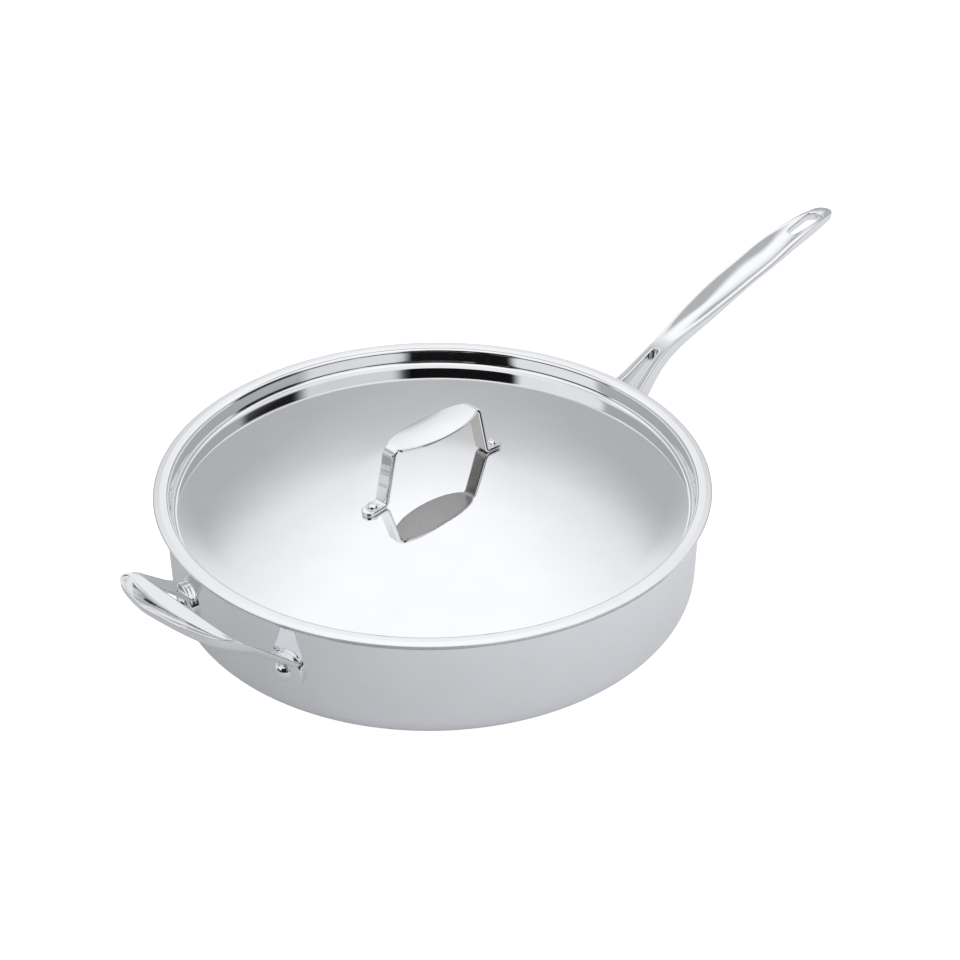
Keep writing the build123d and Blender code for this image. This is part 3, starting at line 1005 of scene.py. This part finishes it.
def floor():
    """A plain floor, white to the camera but for shadows, that steel mirrors brighter to the right."""
    h = floor_half_size
    mesh = bpy.data.meshes.new("floor")
    mesh.from_pydata([(-h, -h, 0), (h, -h, 0), (h, h, 0), (-h, h, 0)], [], [(0, 1, 2, 3)])
    piece = bpy.data.objects.new("floor", mesh)
    bpy.context.scene.collection.objects.link(piece)
    piece.location.z = -floor_drop
    material = bpy.data.materials.new("floor")
    material.use_nodes = True
    nodes = material.node_tree.nodes
    links = material.node_tree.links
    nodes.remove(nodes["Principled BSDF"])
    output = nodes["Material Output"]
    matte = nodes.new("ShaderNodeBsdfDiffuse")
    matte.inputs["Color"].default_value = (*floor_color, 1)
    glow = nodes.new("ShaderNodeEmission")
    glow.inputs["Color"].default_value = (*floor_glow_color, 1)
    rays = nodes.new("ShaderNodeLightPath")
    level = nodes.new("ShaderNodeMath")
    level.operation = "MULTIPLY"
    level.inputs[1].default_value = floor_glow
    links.new(rays.outputs["Is Camera Ray"], level.inputs[0])
    place = nodes.new("ShaderNodeTexCoord")
    across = nodes.new("ShaderNodeVectorMath")
    across.operation = "DOT_PRODUCT"
    across.inputs[1].default_value = rightwards
    links.new(place.outputs["Object"], across.inputs[0])
    sideways = nodes.new("ShaderNodeMapRange")
    sideways.interpolation_type = "SMOOTHSTEP"
    sideways.inputs["From Min"].default_value = -floor_glow_span
    sideways.inputs["From Max"].default_value = floor_glow_span
    sideways.inputs["To Min"].default_value = floor_mirrored_glow[0]
    sideways.inputs["To Max"].default_value = floor_mirrored_glow[1]
    links.new(across.outputs["Value"], sideways.inputs["Value"])
    mirrored = nodes.new("ShaderNodeMath")
    mirrored.operation = "MULTIPLY_ADD"
    links.new(sideways.outputs["Result"], mirrored.inputs[1])
    links.new(rays.outputs["Is Glossy Ray"], mirrored.inputs[0])
    links.new(level.outputs["Value"], mirrored.inputs[2])
    links.new(mirrored.outputs["Value"], glow.inputs["Strength"])
    both = nodes.new("ShaderNodeAddShader")
    links.new(matte.outputs["BSDF"], both.inputs[0])
    links.new(glow.outputs["Emission"], both.inputs[1])
    links.new(both.outputs["Shader"], output.inputs["Surface"])
    mesh.materials.append(material)


floor()


# World: a pale studio, grey low down behind the pan and bright higher up, with dark and lit patches in front

# Elevations and turns are in degrees. Turn is 0 towards the camera and grows to the picture's right.
studio_color = (0.985, 0.99, 1.0)
grey_levels = (0.25, 0.57)
grey_low = 18.8
grey_highs = (27.3, 41.9)
grey_fall = 0.056
grey_most_fall = 14.0
low_light_edge = (10, 20)
low_light_level = 0.95
roof_edge = (50, 60)
roof_behind = (0.0, 0.3)
roof_share = 0.55

# Each patch has its turns, how soft those edges are, its elevation edges and how strong it is
lit_left = {"turn": (-84, -36), "soft": 3, "low": (16, 21), "high": (44, 56), "share": 1.0}
lit_right = {"turn": (14, 62), "soft": 5, "low": (13, 18), "high": (44, 56), "share": 0.85}
dark_front = {"turn": (-39, 12), "soft": 3, "high": (37, 43), "share": 0.985}
dark_left = {"turn": (-84, -36), "soft": 3, "high": (14, 19), "share": 0.92}
dark_right = {"turn": (9, 95), "soft": 4, "high": (24, 31), "share": 0.97}
lit_over_dark_share = 0.9


def studio():
    """The surroundings that the polished steel mirrors."""
    world = bpy.data.worlds.new("studio")
    bpy.context.scene.world = world
    world.use_nodes = True
    nodes = world.node_tree.nodes
    links = world.node_tree.links
    background = nodes["Background"]
    place = nodes.new("ShaderNodeTexCoord")
    direction = place.outputs["Generated"]

    def math(operation, *values):
        node = nodes.new("ShaderNodeMath")
        node.operation = operation
        for i, value in enumerate(values):
            if isinstance(value, (int, float)):
                node.inputs[i].default_value = value
            else:
                links.new(value, node.inputs[i])
        return node.outputs["Value"]

    def dot(vector):
        node = nodes.new("ShaderNodeVectorMath")
        node.operation = "DOT_PRODUCT"
        links.new(direction, node.inputs[0])
        node.inputs[1].default_value = vector
        return node.outputs["Value"]

    def ramp(value, low, high, low_level, high_level):
        node = nodes.new("ShaderNodeMapRange")
        node.interpolation_type = "SMOOTHSTEP"
        links.new(value, node.inputs["Value"])
        node.inputs["From Min"].default_value = low
        node.inputs["From Max"].default_value = high
        node.inputs["To Min"].default_value = low_level
        node.inputs["To Max"].default_value = high_level
        return node.outputs["Result"]

    def rise(value, edge):
        return ramp(value, edge[0], edge[1], 0.0, 1.0)

    def fall(value, edge):
        return ramp(value, edge[0], edge[1], 1.0, 0.0)

    def patch(area):
        low, high = area["turn"]
        soft = area["soft"]
        found = math("MULTIPLY", rise(turn, (low - soft, low + soft)), fall(elevation, area["high"]))
        found = math("MULTIPLY", found, fall(turn, (high - soft, high + soft)))
        if "low" in area:
            found = math("MULTIPLY", found, rise(elevation, area["low"]))
        return found

    def darkened(level, where, share):
        return math("MULTIPLY", level, math("SUBTRACT", 1.0, math("MULTIPLY", where, share)))

    def lit(level, where, share):
        return math("ADD", darkened(level, where, share), math("MULTIPLY", where, share))

    height = dot((0, 0, 1))
    behind = dot(back)
    across = dot(rightwards)
    elevation = math("MULTIPLY", math("ARCSINE", height), degrees(1))
    bearing = math("MULTIPLY", math("ARCTAN2", across, behind), degrees(1))
    turn = math("MULTIPLY", math("ARCTAN2", across, math("MULTIPLY", behind, -1.0)), degrees(1))
    lowering = math("MULTIPLY", math("MULTIPLY", bearing, bearing), grey_fall)
    lowered = math("SUBTRACT", elevation, math("MINIMUM", lowering, grey_most_fall))
    grey = math("ADD", *[ramp(lowered, grey_low, high, *grey_levels) for high in grey_highs])
    low_light = fall(elevation, low_light_edge)
    level = math("ADD", darkened(grey, low_light, 1.0), math("MULTIPLY", low_light, low_light_level))
    roof = math("MULTIPLY", rise(elevation, roof_edge), rise(behind, roof_behind))
    level = darkened(level, roof, roof_share)
    level = lit(level, patch(lit_left), lit_left["share"])
    across_lit = patch(lit_right)
    level = lit(level, across_lit, lit_right["share"])
    level = darkened(level, patch(dark_front), dark_front["share"])
    level = darkened(level, patch(dark_left), dark_left["share"])
    right = darkened(patch(dark_right), across_lit, lit_over_dark_share)
    level = darkened(level, right, dark_right["share"])
    rays = nodes.new("ShaderNodeLightPath")
    seen = rays.outputs["Is Camera Ray"]
    level = math("ADD", math("MULTIPLY", level, math("SUBTRACT", 1.0, seen)), seen)
    background.inputs["Color"].default_value = (*studio_color, 1)
    links.new(level, background.inputs["Strength"])


studio()

scene = bpy.context.scene
scene.view_settings.view_transform = "Standard"
